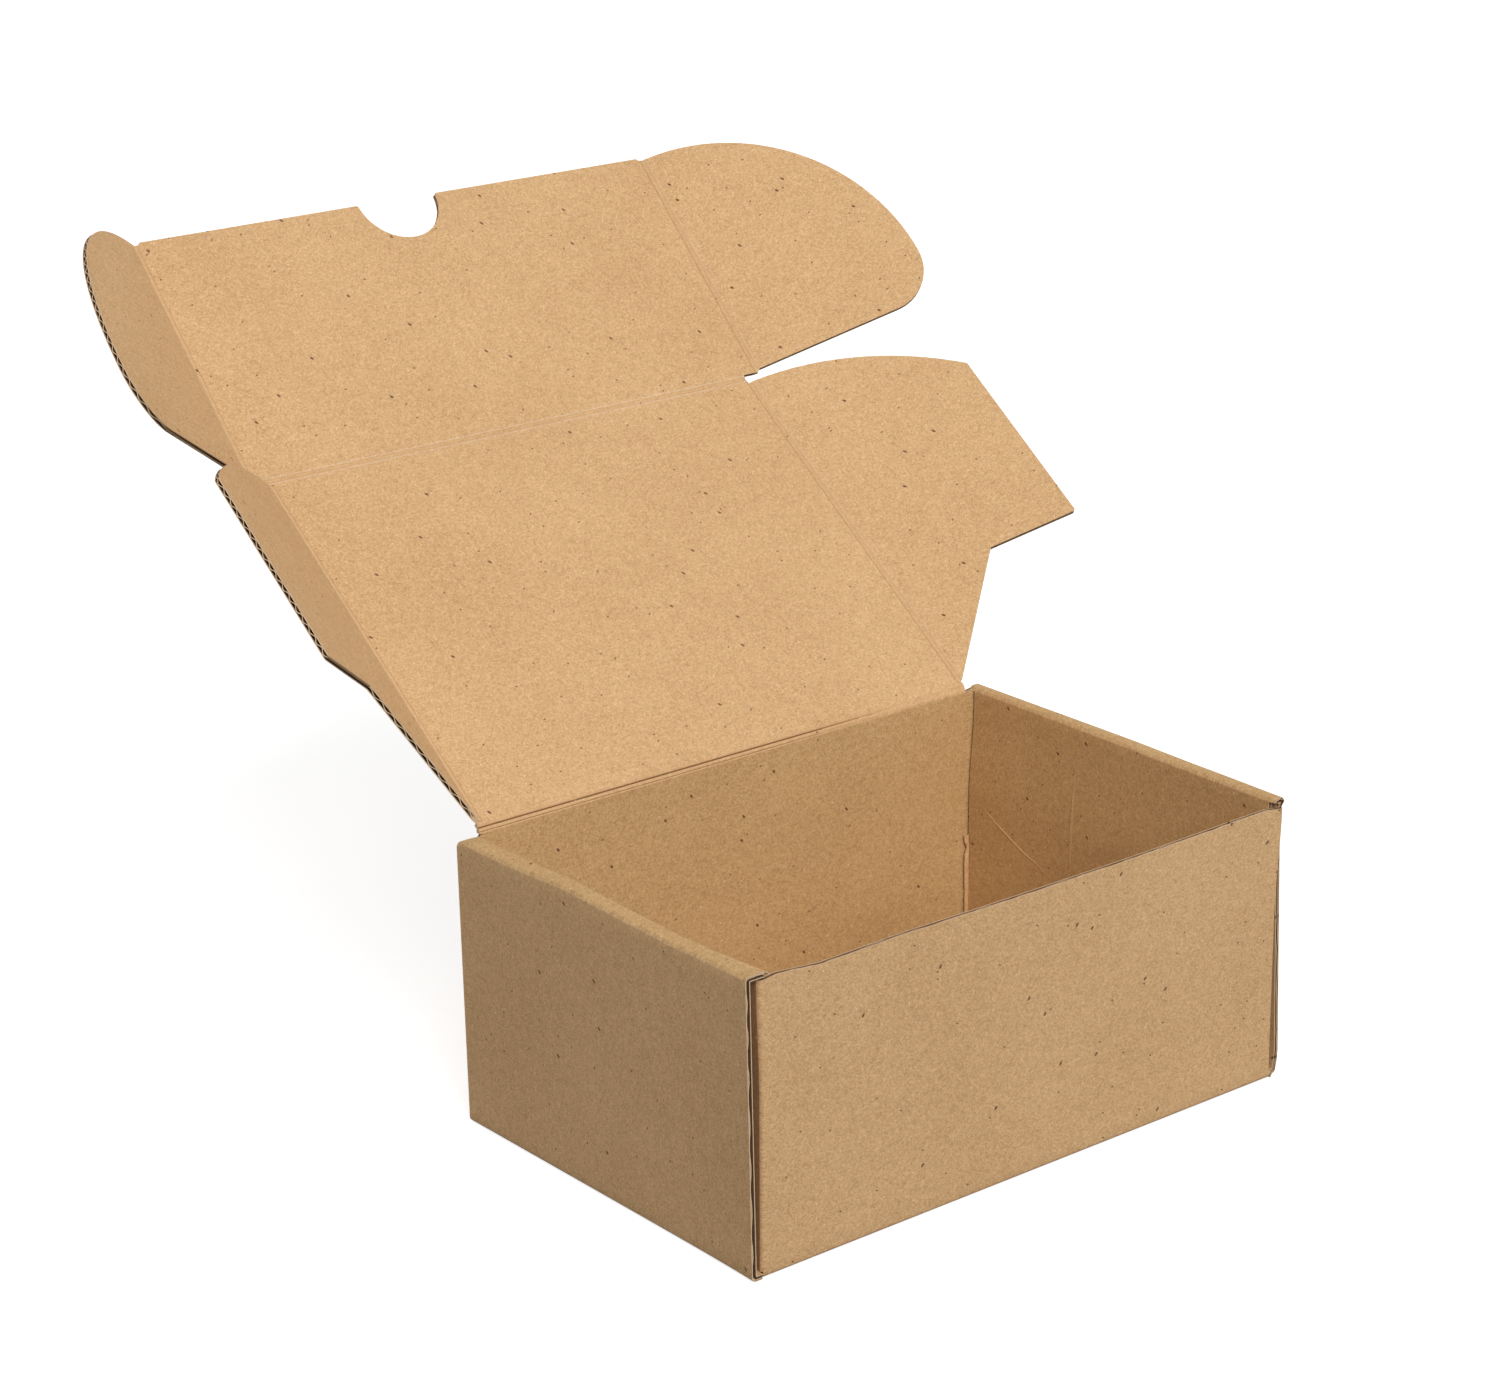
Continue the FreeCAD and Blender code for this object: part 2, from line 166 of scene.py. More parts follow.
# Material of a face, and each material's palest and darkest tone as on a screen, 0 to 255
FACE, FLUTE, CUT_EDGE_AND_HIGHLIGHT, PAINTED_SHADE, SHADED_INSIDE, GROOVE_SHADE = range(6)
KRAFT_TONES = (
    ("kraft_face", (238, 198, 149), (184, 142, 96)),
    ("kraft_flute", (150, 118, 86), (106, 80, 56)),
    # the cut edge's own paler colour, also used for painted highlights on the fine ridges of the folds'
    # bands
    ("kraft_cut_edge_and_highlight", (240, 212, 178), (196, 162, 126)),
    # painted shade: a darker copy of the board for the hinge's fold line and for the dust flaps behind the
    # outer walls
    ("kraft_painted_shade", (172, 134, 96), (138, 104, 72)),
    # painted shade: a darker copy of the board for the faces inside the tray, the ledges' tops and the
    # wrinkle
    ("kraft_shaded_inside", (225, 188, 136), (172, 133, 86)),
    # painted shade: a darker copy of the board for the groove along each ear's fold
    ("kraft_groove_shade", (208, 168, 124), (170, 132, 92)),
)
FLECK_TONE = (98, 66, 42)
PALE_FLECK_TONE = (240, 216, 180)
# Cloud, mottle, grain and fine grain, each with its scale, detail, roughness and weight
NOISE_LAYERS = (
    (0.022, 3.0, 0.55, 0.35),
    (0.5, 3.0, 0.6, 0.5),
    (1.3, 2.0, 0.6, 0.8),
    (4.2, 1.0, 0.5, 1.2),
)
PALE_FIBRES = 0.24
DEEP_FIBRES = -0.3
FLECK_STRENGTH = 0.9
PALE_FLECK_STRENGTH = 0.5
BUMP_HEIGHT = 0.00006                      # in metres, as Blender takes it

# Studio
WORLD_LIGHT = 0.33
LAMPS = (                                  # name, strength, spread in degrees, where it comes from
    ("key", 2.15, 40.0, (-0.25, -0.73, 0.64)),
    ("fill", 0.28, 70.0, (0.85, -0.35, 0.4)),
    ("behind", 1.1, 70.0, (0.25, 0.93, 0.22)),
)
FLOOR_HALF = 5.0                           # in metres
FLOOR_COLOUR = (205, 205, 205)
FLOOR_BOUNCE = (120, 120, 120)             # what the floor throws back on the box
FLOOR_GLOW = 0.68                          # added for the camera only, so that the ground looks white

# The photograph's camera, fitted to the box's corners and folds
CAMERA_AT = (-574.1, -676.9, 414.2)
CAMERA_AIM = (-16.49, 28.9, 108.6)
CAMERA_ROLL = -1.26
LENS = 90.2
SENSOR = 36.0


def smooth(value, low, high):
    """0 below low, 1 above high and a soft step between."""
    share = np.clip((value - low) / (high - low), 0, 1)
    return share * share * (3 - 2 * share)


def ragged(place, seed=0.0):
    """An uneven line between 0 and 1."""
    waves = (0.9, 2.3, 5.1)
    return 0.5 + sum(np.sin(place * f + seed * (n + 2)) for n, f in enumerate(waves)) / (2 * len(waves))


class Sheet:
    """Collects shells of board and makes one mesh of them."""

    def __init__(self, name):
        self.name = name
        self.points = []
        self.blanks = []
        self.cells = []
        self.finish = []
        self.count = 0

    def add(self, points, normals, blanks, cells, low, high, finish):
        """A closed shell between two offsets from a surface. finish: materials of high, low and rim.

        Each is one material or one for each cell."""
        size = len(points)
        depths = [np.broadcast_to(offset, size) for offset in (high, low)]
        corner = points[cells[0]]
        facing = np.cross(corner[1] - corner[0], corner[2] - corner[0])
        if facing @ normals[cells[0][0]] < 0:
            cells = cells[:, ::-1]
        for depth in depths:
            self.points.append(points + normals * depth[:, None])
            self.blanks.append(np.column_stack([blanks, depth * 10]))
        start = np.concatenate([cells[:, k] for k in range(cells.shape[1])])
        end = np.concatenate([cells[:, k - cells.shape[1] + 1] for k in range(cells.shape[1])])
        border = ~np.isin(start * size + end, end * size + start)
        start, end = start[border], end[border]
        rim = np.column_stack([end, start, start + size, end + size])
        for faces, material in ((cells, finish[0]), (cells[:, ::-1] + size, finish[1]), (rim, finish[2])):
            self.cells += (faces + self.count).tolist()
            self.finish += np.broadcast_to(material, len(faces)).tolist()
        self.count += 2 * size

    def liners(self, points, normals, blanks, cells, high=FACE, low=FACE):
        """Both flat faces of the board, each with its material."""
        core = BOARD / 2 - LINER
        self.add(points, normals, blanks, cells, core, BOARD / 2, (high, FLUTE, CUT_EDGE_AND_HIGHLIGHT))
        self.add(points, normals, blanks, cells, -BOARD / 2, -core, (FLUTE, low, CUT_EDGE_AND_HIGHLIGHT))

    def medium(self, points, normals, blanks, cells):
        """The wavy sheet between the liners."""
        middle = WAVE * np.sin(2 * pi * blanks[:, 1] / FLUTE_PITCH)
        half = MEDIUM / 2
        self.add(points, normals, blanks, cells, middle - half, middle + half, (FLUTE, FLUTE, CUT_EDGE_AND_HIGHLIGHT))

    def make(self, materials, change=None):
        points = np.vstack(self.points)
        if change is not None:
            points = change(points)
        mesh = bpy.data.meshes.new(self.name)
        mesh.from_pydata((points * MM).tolist(), [], self.cells)
        for material in materials:
            mesh.materials.append(material)
        mesh.polygons.foreach_set("material_index", self.finish)
        mesh.polygons.foreach_set("use_smooth", [True] * len(self.cells))
        blank = mesh.attributes.new("blank", "FLOAT_VECTOR", "POINT")
        blank.data.foreach_set("vector", np.vstack(self.blanks).astype(np.float32).ravel())
        mesh.update()
        mesh.set_sharp_from_angle(angle=radians(38))
        piece = bpy.data.objects.new(self.name, mesh)
        bpy.context.scene.collection.objects.link(piece)
        return piece


def grid(rows, columns):
    """Four-sided cells over a grid of points stored row by row."""
    first = np.arange(rows * columns).reshape(rows, columns)
    corners = (first[:-1, :-1], first[:-1, 1:], first[1:, 1:], first[1:, :-1])
    return np.column_stack([corner.ravel() for corner in corners])


def inside(loops, points):
    """Which points lie inside the outlines, holes counted out."""
    odd = np.zeros(len(points), bool)
    for loop in loops:
        for a, b in zip(loop, np.roll(loop, -1, axis=0)):
            crosses = (a[1] > points[:, 1]) != (b[1] > points[:, 1])
            if a[1] != b[1]:
                edge = a[0] + (points[:, 1] - a[1]) * (b[0] - a[0]) / (b[1] - a[1])
                odd ^= crosses & (points[:, 0] < edge)
    return odd


def divided(loop, step):
    """The outline with points no further apart than step."""
    found = []
    for a, b in zip(loop, np.roll(loop, -1, axis=0)):
        count = max(1, int(np.ceil(np.linalg.norm(b - a) / step)))
        found += [a + (b - a) * k / count for k in range(count)]
    return np.array(found)


def filled(loops, step=6.0):
    """Points and triangles over an outline, its holes left out."""
    loops = [divided(np.array(loop, float), step) for loop in loops]
    border = np.vstack(loops)
    low, high = border.min(0), border.max(0)
    across, up = np.meshgrid(*(np.arange(low[k] + step / 2, high[k], step) for k in range(2)))
    middle = np.column_stack([across.ravel(), up.ravel()])
    middle = middle[inside(loops, middle)]
    distance = np.linalg.norm(middle[:, None] - border[None], axis=2).min(1)
    points = np.vstack([border, middle[distance > step / 3]])
    edges = []
    first = 0
    for loop in loops:
        count = len(loop)
        edges += [(first + k, first + (k + 1) % count) for k in range(count)]
        first += count
    found = delaunay_2d_cdt([Vector(p) for p in points.tolist()], edges, [], 0, 1e-6)
    points = np.array([tuple(p) for p in found[0]])
    cells = np.array(found[2])
    return points, cells[inside(loops, points[cells].mean(1))]


def span(loop, height, window):
    """From where to where a level line crosses the outline, within a window."""
    found = []
    for a, b in zip(loop, np.roll(loop, -1, axis=0)):
        if (a[1] > height) != (b[1] > height):
            found.append(a[0] + (height - a[1]) * (b[0] - a[0]) / (b[1] - a[1]))
    found.sort()
    pairs = [(max(a, window[0]), min(b, window[1])) for a, b in zip(found[::2], found[1::2])]
    return max(pairs, key=lambda pair: pair[1] - pair[0])


def ribbon(loop, low, high, window, columns=9):
    """Rows of points across the outline, close enough together to carry the flute's wave."""
    rows = max(2, int((high - low) / FLUTE_STEP))
    loop = np.array(loop, float)
    found = []
    for height in np.linspace(low, high, rows):
        left, right = span(loop, height, window)
        for x in np.linspace(left + OPEN_END, right - OPEN_END, columns):
            found.append((x, height))
    return np.array(found), grid(rows, columns)


def arc(centre, radius, first, last, step=2.5):
    """Points of an arc, angles in degrees anticlockwise from X."""
    count = max(3, int(abs(last - first) / step) + 1)
    angles = np.radians(np.linspace(first, last, count))
    return [(centre[0] + radius * cos(a), centre[1] + radius * sin(a)) for a in angles]


def place(origin, across, up, normal, skew=0.0):
    """A flat panel's place: where its X and Y point and which way its inner face looks."""
    across, up = np.array(across, float), np.array(up, float)
    return {"origin": np.array(origin, float), "across": across + skew * up, "up": up, "normal": normal}


def laid(where, points, lift=None):
    """Points of a flat panel in the box's frame, with the board's normal at each."""
    found = where["origin"] + np.outer(points[:, 0], where["across"]) + np.outer(points[:, 1], where["up"])
    if lift is not None:
        found = found + np.outer(lift, where["normal"])
    return found, np.tile(where["normal"], (len(points), 1))


def flat_board(name, where, loop, ribbons, blank, bow=None):
    """A flat panel of board: two liners cut to the outline and the medium between them."""
    sheet = Sheet(name)
    points, cells = filled([loop])
    lift = None if bow is None else bow(points)
    sheet.liners(*laid(where, points, lift), blank(points), cells)
    for low, high, window in ribbons:
        points, cells = ribbon(loop, low, high, window)
        lift = None if bow is None else bow(points)
        sheet.medium(*laid(where, points, lift), blank(points), cells)
    return sheet


def lid_outline():
    right = LID_HALF - STRIP
    return [(-right, STRIP), (right, STRIP), (right, LID_LENGTH - STRIP), (-right, LID_LENGTH - STRIP)]


def tuck_outline():
    """Free edge with the thumb notch, its lips rounded."""
    right = TUCK_HALF - STRIP
    top = TUCK_HEIGHT
    reach = sqrt((NOTCH_RADIUS + NOTCH_LIP) ** 2 - NOTCH_LIP**2)
    dip = np.degrees(np.arctan2(NOTCH_LIP, reach))
    lip = top - NOTCH_LIP
    cut = TUCK_CORNER / 2
    points = [(-right, STRIP), (right, STRIP), (right, top - cut), (right - cut, top)]
    points += arc((NOTCH_OFFSET + reach, lip), NOTCH_LIP, 90, 180 - dip, 20)
    points += arc((NOTCH_OFFSET, top), NOTCH_RADIUS, -dip, dip - 180, 4)[1:-1]
    points += arc((NOTCH_OFFSET - reach, lip), NOTCH_LIP, dip, 90, 20)
    return points + [(cut - right, top), (-right, top - cut)]


def lid_ear_outline():
    centre = LID_EAR_FRONT - LID_EAR_RADIUS
    rise = (LID_EAR_REAR - LID_EAR_START) / LID_EAR_STEP
    low = LID_EAR_START + rise * STRIP
    out = LID_EAR_WIDTH
    first = np.degrees(np.arccos(out / LID_EAR_RADIUS))
    last = np.degrees(np.arccos(STRIP / LID_EAR_RADIUS))
    points = [(STRIP, low), (LID_EAR_STEP, LID_EAR_REAR)]
    points += arc((out - EAR_CORNER, LID_EAR_REAR + EAR_CORNER), EAR_CORNER, -90, 0, 30)
    return points + arc((0, centre), LID_EAR_RADIUS, first, last)


def tuck_ear_outline():
    centre = (TUCK_EAR_OUT, TUCK_EAR_UP)
    corner = (TUCK_EAR_OUT + TUCK_EAR_RADIUS - TUCK_EAR_CORNER, TUCK_EAR_UP)
    last = np.degrees(np.arccos((STRIP - TUCK_EAR_OUT) / TUCK_EAR_RADIUS))
    points = [(STRIP, TUCK_EAR_FOOT)]
    points += arc(corner, TUCK_EAR_CORNER, -90, 0, 6)
    return points + arc(centre, TUCK_EAR_RADIUS, 0, last)[1:]


def pressed(across, depth=PRESS_DEPTH, line=PRESS_LINE):
    """How far a fold's band is pressed in: a shallow trough between a fine groove and a fine ridge."""
    trough = depth * (1 - smooth(np.abs(across), 0, PRESS_HALF))
    groove = line * np.exp(-(((across + LINE_PLACE) / LINE_WIDTH) ** 2))
    ridge = line * np.exp(-(((across - LINE_PLACE) / LINE_WIDTH) ** 2))
    return trough + groove - ridge


def band_shade_and_highlight(across, length):
    """A fold's groove is painted darker as shade and its ridge paler as a highlight."""
    groove = np.abs(across + LINE_PLACE) < LINE_WIDTH
    ridge = np.abs(across - LINE_PLACE) < LINE_WIDTH
    return np.where(groove, GROOVE_SHADE, np.where(ridge, CUT_EDGE_AND_HIGHLIGHT, FACE))


def flap_ridge_highlights(across, length):
    """The tuck flap's fold has two fine lines painted pale as highlights, standing in for ridges."""
    return np.where(np.abs(np.abs(across) - LINE_PLACE) < LINE_WIDTH, CUT_EDGE_AND_HIGHLIGHT, FACE)


def crease(
    name, origin, along, into_a, into_b, normal_a, ends, blank, press, materials, tone=band_shade_and_highlight
):
    """The pressed band along a fold, curved from one panel into the other.

    along: the fold's direction. into_a, into_b: from the fold into each body's panel.
    normal_a: the first panel's normal, on its inner side. ends, blank, press and tone: the
    band's two ends, its flat coordinates, its pressing and its materials.
    """
    across = np.linspace(-STRIP, STRIP, BAND_ROWS)
    share = (across + STRIP) / (2 * STRIP)
    start, end = ends(across)
    columns = max(4, int(np.max(end - start) / 2.5))
    middle = np.outer((1 - share) ** 2, into_a) * STRIP + np.outer(share**2, into_b) * STRIP
    tangent = np.outer(share, into_b) - np.outer(1 - share, into_a)
    tangent /= np.linalg.norm(tangent, axis=1)[:, None]
    normal = np.cross(along, tangent)
    normal *= np.sign(normal[0] @ normal_a)
    length = start[:, None] + (end - start)[:, None] * np.linspace(0, 1, columns)[None]
    points = origin + middle[:, None] + length[:, :, None] * along
    normals = np.repeat(normal[:, None], columns, axis=1)
    across = np.repeat(across[:, None], columns, axis=1)
    across, length = across.ravel(), length.ravel()
    inner, outer = press(across, length)
    sheet = Sheet(name)
    cells = grid(BAND_ROWS, columns)
    sheet.add(
        points.reshape(-1, 3), normals.reshape(-1, 3), blank(across, length), cells,
        outer - BOARD / 2, BOARD / 2 - inner,
        (tone(across[cells].mean(1), length[cells].mean(1)), FACE, CUT_EDGE_AND_HIGHLIGHT),
    )
    piece = sheet.make(materials)
    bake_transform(piece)
    return piece


def rounded_path(corners, radius, step):
    """Places, right-hand normals and lengths along a line with rounded corners."""
    corners = [np.array(c, float) for c in corners]
    points = [corners[0]]
    for before, corner, after in zip(corners, corners[1:], corners[2:]):
        arriving = (corner - before) / np.linalg.norm(corner - before)
        leaving = (after - corner) / np.linalg.norm(after - corner)
        turn = np.arctan2(arriving[0] * leaving[1] - arriving[1] * leaving[0], arriving @ leaving)
        back = radius * tan(abs(turn) / 2)
        centre = corner - arriving * back + np.array([-arriving[1], arriving[0]]) * np.sign(turn) * radius
        first = corner - arriving * back - centre
        for share in np.linspace(0, 1, 6):
            c, s = cos(turn * share), sin(turn * share)
            points.append(centre + np.array([c * first[0] - s * first[1], s * first[0] + c * first[1]]))
    points.append(corners[-1])
    found = [points[0]]
    for a, b in zip(points, points[1:]):
        count = max(1, int(np.ceil(np.linalg.norm(b - a) / step)))
        found += [a + (b - a) * k / count for k in range(1, count + 1)]
    found = np.array(found)
    runs = np.linalg.norm(np.diff(found, axis=0), axis=1)
    tangent = np.gradient(found, np.concatenate([[0], np.cumsum(runs)]), axis=0)
    tangent /= np.linalg.norm(tangent, axis=1)[:, None]
    return found, np.column_stack([tangent[:, 1], -tangent[:, 0]]), np.concatenate([[0], np.cumsum(runs)])


def rows_between(low, high, step):
    return np.linspace(low, high, max(2, int(np.ceil((high - low) / step)) + 1))


def side_board(sheet, side):
    """Outer wall, ledge and inner wall of one side, rolled over from the base."""
    wall = HALF_WIDTH - BOARD / 2
    top = TRAY_HEIGHT - BOARD / 2
    corners = [
        (BASE_HALF_WIDTH, BOARD / 2), (wall, BOARD / 2), (wall, top),
        (INNER_MIDDLE, top), (INNER_MIDDLE, STANDING),
    ]
    path, outward, length = rounded_path(corners, FOLD_MIDDLE, 2.6)
    inner_end = HALF_DEPTH - BOARD - END_SLACK
    reach = np.where((path[:, 1] < top - 0.5) & (path[:, 0] < INNER_MIDDLE + 0.5), inner_end, HALF_DEPTH)

    def strip(rows, recess):
        """Rows along Y, each end drawn back by recess."""
        ends = np.repeat(reach[:, None], len(rows), axis=1) - recess
        y = rows[None] * ends
        points = np.stack([
            np.repeat(side * path[:, :1], len(rows), axis=1), y, np.repeat(path[:, 1:], len(rows), axis=1)
        ], axis=2)
        normal = np.stack([side * outward[:, 0], np.zeros(len(path)), outward[:, 1]], axis=1)
        normals = np.repeat(normal[:, None], len(rows), axis=1)
        unrolled = side * (BASE_HALF_WIDTH + length)
        blank = np.stack([np.repeat(unrolled[:, None], len(rows), axis=1), y], axis=2)
        cells = grid(len(path), len(rows))
        return points.reshape(-1, 3), normals.reshape(-1, 3), blank.reshape(-1, 2), cells

    points, normals, blank, cells = strip(rows_between(-1, 1, ROW_STEP / HALF_DEPTH), 0.0)
    middle = points[cells].mean(1)
    rolled = (np.abs(middle[:, 0]) < INNER_MIDDLE + 0.1) & (middle[:, 2] < top - 1.0)
    ledge = middle[:, 2] > top - 0.2
    # Painted shade: the rolled inner wall and the ledge's top take the darker copy of the board used
    # inside the tray
    sheet.liners(points, normals, blank, cells, high=np.where(rolled | ledge, SHADED_INSIDE, FACE))
    recess = 0.9 * np.clip(1.6 * ragged(length * 0.8, side) - 0.6, 0.02, 1)[:, None]
    for end in (-1, 1):
        band = np.sort(end * rows_between(0.84, 1, FLUTE_STEP / HALF_DEPTH))
        sheet.medium(*strip(band, recess))
    for offset in (-TAB_OFFSET, TAB_OFFSET):
        half = TAB_LENGTH / 2
        low, high = offset - half, offset + half
        points, cells = filled([[(low, TAB_FOOT), (high, TAB_FOOT), (high, STANDING), (low, STANDING)]])
        where = place((side * INNER_MIDDLE, 0, 0), (0, 1, 0), (0, 0, 1), np.array([-side, 0.0, 0.0]))
        sheet.add(*laid(where, points), points, cells, -BOARD / 2, BOARD / 2, (FACE, FACE, CUT_EDGE_AND_HIGHLIGHT))


def end_board(sheet, side, top_at, steps):
    """The front wall (side -1) or the rear one with its fold from the base and its two dust flaps."""
    wall = HALF_DEPTH - BOARD / 2
    x = np.unique(np.concatenate([rows_between(-CORNER_X, CORNER_X, ROW_STEP), steps]))
    corners = [(BASE_HALF_DEPTH, BOARD / 2), (wall, BOARD / 2), (wall, TRAY_HEIGHT)]
    path, outward, _ = rounded_path(corners, FOLD_MIDDLE, ROW_STEP)
    bend = path[path[:, 1] < STANDING]
    bend_normal = outward[path[:, 1] < STANDING]
    rise = rows_between(0, 1, ROW_STEP / TRAY_HEIGHT)[1:]

    def upright(shares, foot, top):
        """Heights of the rows above the fold for each place across."""
        return foot + (top - foot) * shares

    def wall_strip(x, heights, with_bend):
        """heights: one row of Z for each X."""
        count = heights.shape[1]
        bend_y = np.repeat(bend[None, :, 0], len(x), axis=0)
        bend_z = np.repeat(bend[None, :, 1], len(x), axis=0)
        y = np.full((len(x), count), wall)
        z = heights
        normal_y = np.ones((len(x), count))
        normal_z = np.zeros((len(x), count))
        if with_bend:
            y = np.hstack([bend_y, y])
            z = np.hstack([bend_z, z])
            normal_y = np.hstack([np.repeat(bend_normal[None, :, 0], len(x), axis=0), normal_y])
            normal_z = np.hstack([np.repeat(bend_normal[None, :, 1], len(x), axis=0), normal_z])
        across = np.repeat(x[:, None], y.shape[1], axis=1)
        points = np.stack([across, side * y, z], axis=2)
        normals = np.stack([np.zeros_like(y), side * normal_y, normal_z], axis=2)
        blank = np.stack([across, side * (y + z)], axis=2)
        return points.reshape(-1, 3), normals.reshape(-1, 3), blank.reshape(-1, 2), grid(*y.shape)

    top = top_at(x)[:, None]
    # Painted shade: the wall's inner face takes the darker copy of the board used inside the tray
    sheet.liners(*wall_strip(x, upright(rise[None], STANDING, top), True), low=SHADED_INSIDE)
    for hand in (-1, 1):
        beside = hand * np.array([CORNER_X, CORNER_X + 0.5, BASE_HALF_WIDTH - 0.2])
        sheet.liners(*wall_strip(beside, np.full((3, 1), STANDING + 0.3), True))
    recess = 0.1 + 0.5 * ragged(x * 0.23, 4)[:, None]
    fine = rows_between(0, 1, FLUTE_STEP / OPEN_DEPTH)[None]
    sheet.medium(*wall_strip(x, top - OPEN_DEPTH + (OPEN_DEPTH - recess) * fine, False))

    for hand in (-1, 1):
        corners = [(CORNER_X, wall), (DUST_MIDDLE, wall), (DUST_MIDDLE, HALF_DEPTH - DUST_FLAP_LENGTH)]
        path, outward, length = rounded_path(corners, FOLD_MIDDLE - 0.05, ROW_STEP)
        flap_top = top_at(hand * CORNER_X) + (FLAP_TOP - top_at(hand * CORNER_X)) * smooth(length, 0, 3)

        def flap(heights):
            count = heights.shape[1]
            px = np.repeat(hand * path[:, :1], count, axis=1)
            py = np.repeat(side * path[:, 1:], count, axis=1)
            normal = np.stack([-hand * outward[:, 0], -side * outward[:, 1], np.zeros(len(path))], axis=1)
            unrolled = np.repeat(hand * (CORNER_X + length)[:, None], count, axis=1)
            points = np.stack([px, py, heights], axis=2).reshape(-1, 3)
            blank = np.stack([unrolled, side * (BASE_HALF_DEPTH + heights)], axis=2).reshape(-1, 2)
            return points, np.repeat(normal, count, axis=0), blank, grid(len(path), count)

        shares = np.concatenate([[0], rise])[None]
        points, normals, blank, cells = flap(upright(shares, STANDING, flap_top[:, None]))
        # Painted shade: the dust flap's outer face, in the slot behind the outer wall, takes a darker copy
        # of the board; its inner face takes the darker copy used inside the tray
        shaded = np.abs(points[cells].mean(1)[:, 1]) < wall - 0.5
        sheet.liners(points, normals, blank, cells, high=np.where(shaded, PAINTED_SHADE, FACE), low=SHADED_INSIDE)
        sheet.medium(*flap(flap_top[:, None] - OPEN_DEPTH + (OPEN_DEPTH - FLAP_RECESS) * fine))


def front_top(x):
    return np.interp(x, FRONT_TOP_X, FRONT_TOP_Z)


def rear_top(x):
    return np.where((x >= -HINGE_LEFT) & (x <= NECK_RIGHT), NECK_TOP, FLAP_TOP)


def settle(points):
    """The tray as use left it: uneven ledges, side walls that lean and front corners that have opened."""
    x, y, z = points.T.copy()
    left = smooth(-x, *LOOSE_FROM)
    right = smooth(x, *LOOSE_FROM)
    at_ledge = smooth(z, *LEDGE_ZONE)
    dz = left * at_ledge * np.interp(y, LEFT_LEDGE_Y, LEFT_LEDGE_RISE)
    dz += right * at_ledge * np.interp(y, RIGHT_LEDGE_Y, RIGHT_LEDGE_RISE)
    dz -= REAR_DROP * left * at_ledge * smooth(y, 54.5, 58.5) ** 2

    upper = smooth(z, *UPPER_ZONE)
    dx = -left * (1 - smooth(-x, *LOOSE_TO)) * upper * LEFT_LEAN * smooth(-y, -50, 0)
    before_rear_wall = y < HALF_DEPTH - BOARD - 0.1
    foot = RIGHT_FOOT * (1 - smooth(z, *FOOT_ZONE)) * smooth(y, 15, 57) * before_rear_wall
    lean = upper * (RIGHT_LEAN + RIGHT_LEAN_REAR * smooth(y, 0, 50))
    dx += right * (1 - smooth(x, *LOOSE_TO)) * (lean - foot)

    near_front = np.exp(-(y + HALF_DEPTH) / FRONT_FADE) * (y < 20)
    in_front_wall = (z < BELOW_LEDGE) * (y < 0.4 - HALF_DEPTH + BOARD)
    flare = (1.2 * np.clip(z / FLARE_HEIGHT, 0, 1) - 0.3) * in_front_wall
    dx += smooth(x, *FRONT_WALL_FROM) * (1 - smooth(x, 85.5, 86.6)) * near_front * flare
    share = z / TRAY_HEIGHT
    dx += smooth(-x, *FRONT_WALL_FROM) * (1 - smooth(-x, 84.9, 86)) * near_front * (1.9 * share - 0.5)
    dx += smooth(x, *OUTER_WALL) * near_front * (0.9 - 1.7 * share) * smooth(z, 0.5, 6)
    dx -= smooth(-x, *OUTER_WALL) * near_front * 0.55
    dy = 1.5 * smooth(x, 86.0, 86.6) * near_front**2 * (z < BELOW_LEDGE)
    return np.column_stack([x + dx, y + dy, z + dz])


def pleat(sheet, side, route, width, height):
    """A thin raised wrinkle on the face of an inner side wall, along a route of (y, z) points."""
    route = np.array(route, float)
    runs = np.concatenate([[0], np.cumsum(np.linalg.norm(np.diff(route, axis=0), axis=1))])
    steps = np.linspace(0, runs[-1], PLEAT_ROWS)
    line = np.column_stack([np.interp(steps, runs, route[:, k]) for k in range(2)])
    tangent = np.gradient(line, steps, axis=0)
    across = np.column_stack([-tangent[:, 1], tangent[:, 0]])
    shares = np.linspace(-1, 1, PLEAT_COLUMNS)
    taper = np.sin(pi * np.clip(steps / runs[-1], 0.03, 0.97))
    spread = width * (0.4 + 0.6 * taper[:, None, None])
    flat = (line[:, None] + across[:, None] * shares[None, :, None] * spread).reshape(-1, 2)
    rise = np.outer(taper, np.cos(shares * pi / 2) ** 2).ravel() * height
    face = INNER_MIDDLE - BOARD / 2
    points = np.column_stack([np.full(len(flat), side * face), flat])
    normals = np.tile([-side, 0.0, 0.0], (len(flat), 1))
    cells = grid(PLEAT_ROWS, PLEAT_COLUMNS)
    # Painted shade: the wrinkle takes the darker copy of the board used inside the tray
    sheet.add(points, normals, flat, cells, -0.1, rise + 0.01, (SHADED_INSIDE, SHADED_INSIDE, SHADED_INSIDE))


